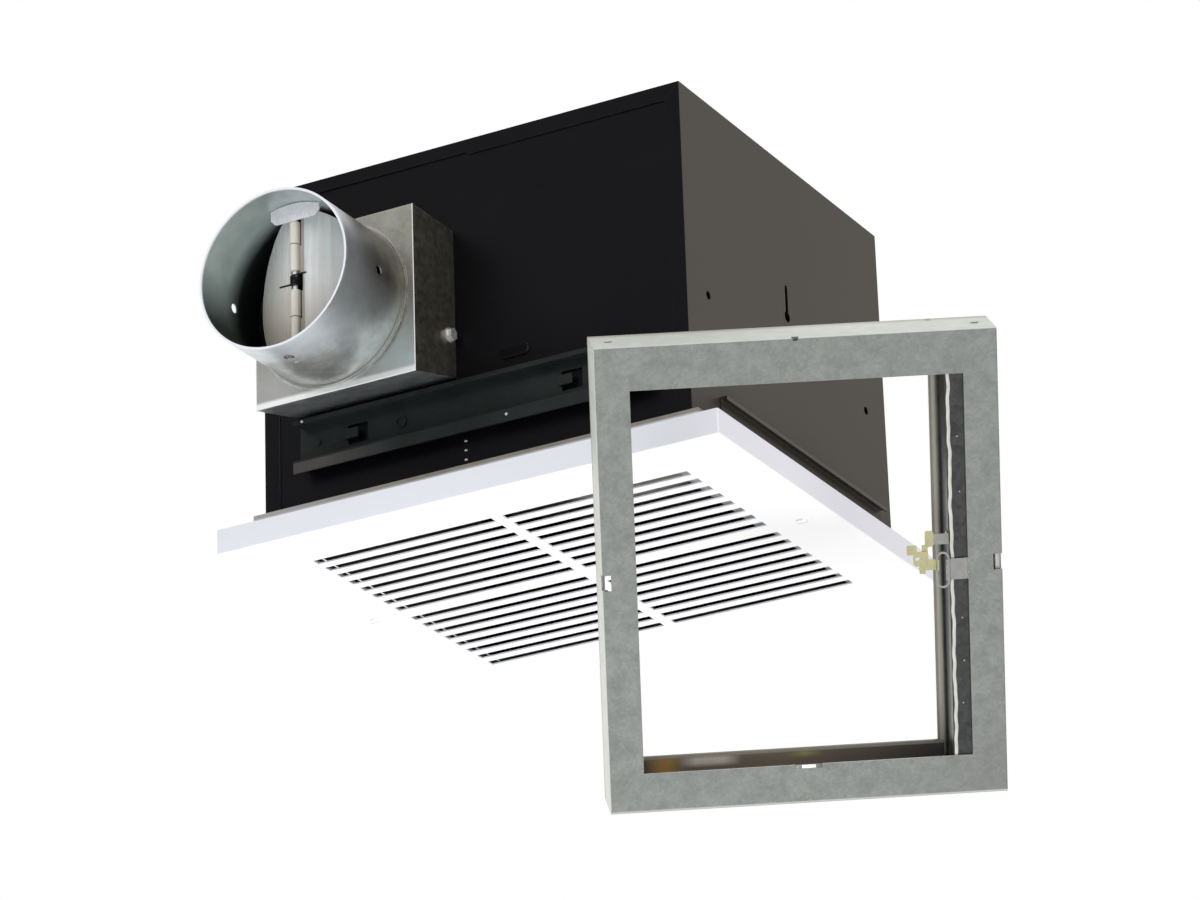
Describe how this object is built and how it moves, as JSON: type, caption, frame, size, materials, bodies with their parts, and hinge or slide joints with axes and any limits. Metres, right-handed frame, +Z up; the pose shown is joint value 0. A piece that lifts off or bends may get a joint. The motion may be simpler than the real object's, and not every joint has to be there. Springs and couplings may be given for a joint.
{
  "type": "ceiling exhaust fan",
  "caption": "Ceiling exhaust fan: sheet-steel housing with a round side duct and backdraft flaps, a slotted grille, and a curtain fire damper for the ceiling opening.",
  "frame": {"origin": "centre of the ceiling opening, in the plane of the ceiling, at the top of the grille's rim", "axes": "+Z up into the ceiling void, -Y along the duct collar, X along the grille's long side"},
  "size_m": [0.5225, 0.4338, 0.4544],
  "materials": {
    "black_steel": "semi-gloss black enamel",
    "galvanised": "hot-dip galvanised, fine spangle",
    "zinc_frame": "matt galvanised with mottled spangle",
    "flange_steel": "thin primer",
    "white_enamel": "gloss white enamel",
    "zinc_screw": "bright zinc",
    "spring_steel": "black oxide",
    "wheel_steel": "mill finish",
    "motor_steel": "satin black",
    "grommet_rubber": "matt",
    "capacitor_can": "drawn, satin",
    "white_plastic": "moulded",
    "curtain_steel": "roll-formed galvanised",
    "link_brass": "tarnished",
    "link_steel": "zinc plated",
    "bronze": "sintered bronze"
  },
  "bodies": {
    "root": {"housing_wrap": "black_steel", "front_panel": "black_steel", "top_cover": "black_steel", "side_angles": "black_steel", "front_hanger_rail": "black_steel", "rear_hanger_rail": "black_steel", "duct_box": "galvanised", "duct_collar": "galvanised", "damper_bracket": "galvanised", "scroll_wall": "galvanised", "scroll_bottom_plate": "galvanised", "scroll_top_plate": "galvanised", "inlet_ring": "galvanised", "blower_feet": "galvanised", "motor_plate": "galvanised", "capacitor_shelf": "galvanised", "wiring_box": "galvanised", "wiring_cover": "galvanised", "frame_rail_top": "zinc_frame", "frame_rail_bottom": "zinc_frame", "frame_rail_left": "zinc_frame", "frame_rail_right": "zinc_frame", "frame_rivets": "zinc_frame", "ceiling_flange": "flange_steel", "grille": "white_enamel", "grille_screws": "white_enamel", "duct_box_screws": "zinc_screw", "housing_screws": "zinc_screw", "motor_bolts": "zinc_screw", "grille_clips": "zinc_screw", "damper_rod": "zinc_screw", "damper_spring": "spring_steel", "motor_shell": "motor_steel", "motor_end_cap": "motor_steel", "motor_grommets": "grommet_rubber", "capacitor": "capacitor_can", "receptacle": "white_plastic", "motor_plug": "white_plastic", "curtain_anchor": "curtain_steel", "link_plate_fixed": "link_brass", "link_strap": "link_steel", "link_ring": "link_steel", "motor_bushings": "bronze"},
    "rotor": {"blower_wheel": "wheel_steel", "wheel_set_screw": "zinc_screw", "motor_shaft": "zinc_screw"},
    "right_flap": {"flap_right": "galvanised"},
    "left_flap": {"flap_left": "galvanised"},
    "lead": {"lead_blade": "curtain_steel", "link_plate_moving": "link_brass", "link_clip": "link_steel"},
    "slat_1": {"curtain_slat_1": "curtain_steel"},
    "slat_2": {"curtain_slat_2": "curtain_steel"},
    "slat_3": {"curtain_slat_3": "curtain_steel"},
    "slat_4": {"curtain_slat_4": "curtain_steel"},
    "slat_5": {"curtain_slat_5": "curtain_steel"},
    "slat_6": {"curtain_slat_6": "curtain_steel"},
    "slat_7": {"curtain_slat_7": "curtain_steel"},
    "slat_8": {"curtain_slat_8": "curtain_steel"}
  },
  "joints": [
    {"name": "wheel_spin", "type": "hinge", "parent": "root", "child": "rotor", "pos_m": [0.012, 0.008, 0.12], "axis": [0, 0, 1], "continuous": true},
    {"name": "flap_swing", "type": "hinge", "parent": "root", "child": "right_flap", "pos_m": [-0.0676, -0.2145, 0.1091], "axis": [0, 0, 1], "range_deg": [-35, 45], "stiffness_Nm_per_rad": 0.01},
    {"name": "flap_swing_left", "type": "hinge", "parent": "root", "child": "left_flap", "pos_m": [-0.0676, -0.2145, 0.1091], "axis": [0, 0, 1], "range_deg": [-45, 35]},
    {"name": "curtain_fold", "type": "hinge", "parent": "root", "child": "slat_1", "pos_m": [0.31623, -0.10606, -0.11234], "axis": [0.2619, -0.4936, 0.8293], "range_deg": [0, 49.8]},
    {"name": "fold_2", "type": "hinge", "parent": "slat_1", "child": "slat_2", "pos_m": [0.29973, -0.08702, -0.09579], "axis": [0.2619, -0.4936, 0.8293], "range_deg": [-99.6, 0]},
    {"name": "fold_3", "type": "hinge", "parent": "slat_2", "child": "slat_3", "pos_m": [0.31116, -0.10926, -0.11264], "axis": [0.2619, -0.4936, 0.8293], "range_deg": [0, 99.6]},
    {"name": "fold_4", "type": "hinge", "parent": "slat_3", "child": "slat_4", "pos_m": [0.29465, -0.09021, -0.09609], "axis": [0.2619, -0.4936, 0.8293], "range_deg": [-99.6, 0]},
    {"name": "fold_5", "type": "hinge", "parent": "slat_4", "child": "slat_5", "pos_m": [0.30609, -0.11245, -0.11293], "axis": [0.2619, -0.4936, 0.8293], "range_deg": [0, 99.6]},
    {"name": "fold_6", "type": "hinge", "parent": "slat_5", "child": "slat_6", "pos_m": [0.28958, -0.0934, -0.09639], "axis": [0.2619, -0.4936, 0.8293], "range_deg": [-99.6, 0]},
    {"name": "fold_7", "type": "hinge", "parent": "slat_6", "child": "slat_7", "pos_m": [0.30102, -0.11564, -0.11323], "axis": [0.2619, -0.4936, 0.8293], "range_deg": [0, 99.6]},
    {"name": "fold_8", "type": "hinge", "parent": "slat_7", "child": "slat_8", "pos_m": [0.28451, -0.09659, -0.09668], "axis": [0.2619, -0.4936, 0.8293], "range_deg": [-99.6, 0]},
    {"name": "lead_fold", "type": "hinge", "parent": "slat_8", "child": "lead", "pos_m": [0.29594, -0.11883, -0.11353], "axis": [0.2619, -0.4936, 0.8293], "range_deg": [0, 49.8]}
  ],
  "couplings": [
    {"joint": "flap_swing_left", "follows": "flap_swing", "ratio": -1},
    {"joint": "fold_2", "follows": "curtain_fold", "ratio": -2},
    {"joint": "fold_3", "follows": "curtain_fold", "ratio": 2},
    {"joint": "fold_4", "follows": "curtain_fold", "ratio": -2},
    {"joint": "fold_5", "follows": "curtain_fold", "ratio": 2},
    {"joint": "fold_6", "follows": "curtain_fold", "ratio": -2},
    {"joint": "fold_7", "follows": "curtain_fold", "ratio": 2},
    {"joint": "fold_8", "follows": "curtain_fold", "ratio": -2},
    {"joint": "lead_fold", "follows": "curtain_fold", "ratio": 1}
  ]
}
